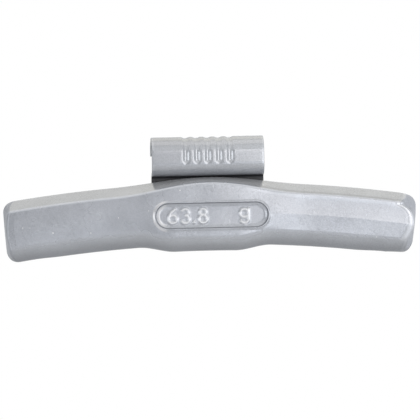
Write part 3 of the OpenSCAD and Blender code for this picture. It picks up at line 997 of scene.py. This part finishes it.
steps_round = [2 * math.pi * i / FLOOR_SIDES for i in range(FLOOR_SIDES)]
disc = bpy.data.meshes.new("floor")
disc.from_pydata([(FLOOR_R * math.cos(a), FLOOR_R * math.sin(a), FLOOR_Z) for a in steps_round],
                 [], [list(range(FLOOR_SIDES))])
floor = bpy.data.objects.new("floor", disc)
scene.collection.objects.link(floor)

pale = bpy.data.materials.new("pale_floor")
pale.use_nodes = True
pale.node_tree.nodes.clear()
tree = Tree(pale.node_tree)
floor_x, floor_y, _ = tree.parts(tree.add("ShaderNodeTexCoord", None, None, "Object"))
fade = tree.soft(tree.maths("SQRT", floor_x * floor_x + floor_y * floor_y), 0.12, 0.34)
seen = tree.larger(*ray_masks(tree))
shader = tree.add("ShaderNodeMixShader", None, {
    0: fade,
    1: tree.add("ShaderNodeBsdfDiffuse", None, {"Color": (0.90, 0.91, 0.93, 1)}),
    2: tree.add("ShaderNodeEmission", None,
                {"Color": (1, 1, 1, 1), "Strength": seen * 0.75 + 0.25})})
tree.add("ShaderNodeOutputMaterial", None, {"Surface": shader})
floor.data.materials.append(pale)
print("floor radius", FLOOR_R, "m")

# %% [markdown]
# ## Room and lamps
# The paint is half a mirror, so the room counts as much as the lamps. The world stands for a white
# tent, bright on the right, dark on the left and about half as bright all round. The camera sees
# it as plain white, and so do rays that the paint mirrors level to the back.

# %% World
world = bpy.data.worlds.new("studio")
scene.world = world
world.use_nodes = True
world.node_tree.nodes.clear()
tree = Tree(world.node_tree)
camera_ray, mirrored = ray_masks(tree)
sky_x, sky_y, sky_z = tree.parts(tree.add("ShaderNodeTexCoord", None, None, "Generated"))
upward, downward = tree.soft(sky_z, 0.35, 0.75), tree.soft(sky_z, -0.35, -0.75)
front, back = tree.soft(sky_y, -0.3, -0.7), tree.soft(sky_y, 0.3, 0.7)
beside = (1 - front) * (1 - back) * (tree.soft(sky_x, -0.3, 0.3) * 1.03 + 0.12)
level_round = front * 0.50 + beside + back * 0.44
room_light = upward * 0.46 + downward * 0.4 + (1 - upward) * (1 - downward) * level_round
seen = tree.larger(camera_ray, mirrored * back * (1 - upward))
sky = tree.add("ShaderNodeBackground", None,
               {"Color": (1, 1, 1, 1), "Strength": room_light * (1 - seen) + seen})
tree.add("ShaderNodeOutputWorld", None, {"Surface": sky})
print("world nodes:", len(tree.group.nodes))

# %% [markdown]
# Eight soft lamps hang in the tent, each a rectangle that spans a range of directions, so that the
# bevels show as bands and not as hot spots. Two keys stand right of the camera, one above the
# other: the right arm and the pad mirror them, the left arm mirrors the dimmer room. Strips at the
# sides draw the ends, and three panels over the weight and one below give each bevel its tone.

# %% Lamps
LAMP_AWAY, LAMP_AIM = 1.5, Vector((0, 0, -0.015))


def lamp(name, azimuth, elevation, width, high_, glow, colour):
    """A soft lamp that faces the weight. Azimuth 0 is the front, 90 the right."""
    data = bpy.data.lights.new(name, "AREA")
    data.shape = "RECTANGLE"
    data.size, data.size_y = width, high_
    data.energy = glow * math.pi * width * high_
    data.color = colour
    hung = bpy.data.objects.new(name, data)
    scene.collection.objects.link(hung)
    a, e = math.radians(azimuth), math.radians(elevation)
    way = Vector((math.sin(a) * math.cos(e), -math.cos(a) * math.cos(e), math.sin(e)))
    hung.location = LAMP_AIM + way * LAMP_AWAY
    hung.rotation_mode = "QUATERNION"
    hung.rotation_quaternion = (-way).to_track_quat("-Z", "Y")


LAMPS = {  # azimuths and elevations that each lamp spans, in degrees, its radiance and its colour
    "key_upper": (4.2, 40, -3, 26, 2.05, (1.0, 0.96, 0.93)),
    "key_lower": (6.0, 40, -24, -3, 2.35, (0.97, 0.98, 1)),
    "left_side": (-75, -36, -18, 12, 2.0, (1, 1, 1)),
    "right_side": (66, 84, -10, 10, 2.6, (1, 1, 1)),
    "front_top": (-40, 40, 28, 58, 0.66, (1, 0.98, 0.92)),
    "top": (-40, 40, 62, 98, 0.92, (1, 0.94, 0.86)),
    "back_top": (-40, 40, 102, 138, 0.80, (1, 0.94, 0.78)),
    "front_low": (-40, 40, -60, -28, 0.5, (1, 1, 1)),
}
for name, (az0, az1, el0, el1, glow, colour) in LAMPS.items():
    span = [2 * LAMP_AWAY * math.tan(math.radians(a / 2)) for a in (az1 - az0, el1 - el0)]
    lamp(name, (az0 + az1) / 2, (el0 + el1) / 2, *span, glow, colour)
print("lamps:", len(LAMPS))

# %% [markdown]
# ## The picture's levels
# The view transform is Standard, so a colour comes out about as it is written.

# %% Finish
scene.view_settings.view_transform = "Standard"
